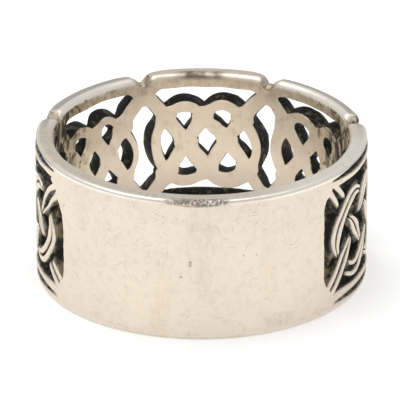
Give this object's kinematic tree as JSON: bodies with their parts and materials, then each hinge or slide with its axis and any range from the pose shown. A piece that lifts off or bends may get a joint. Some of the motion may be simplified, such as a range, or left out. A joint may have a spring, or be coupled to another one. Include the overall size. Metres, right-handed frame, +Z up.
{
  "type": "celtic knot ring",
  "caption": "Finger ring with a plain back and a front of pierced, interlaced knots between scalloped rims, in cast silver with blackened recesses.",
  "frame": {"origin": "on the axis of the finger hole, in the plane of the edge that the ring rests on", "axes": "+Z up along the finger hole, +Y towards the middle knot, -Y towards the middle of the plain back"},
  "size_m": [0.0214, 0.0214, 0.0096],
  "materials": {
    "oxidised_silver": "worn polish on the plain back, the rims and the tops of the strands, blackened in the grooves and openings"
  },
  "bodies": {
    "root": {"knot_ring": "oxidised_silver"}
  },
  "joints": []
}
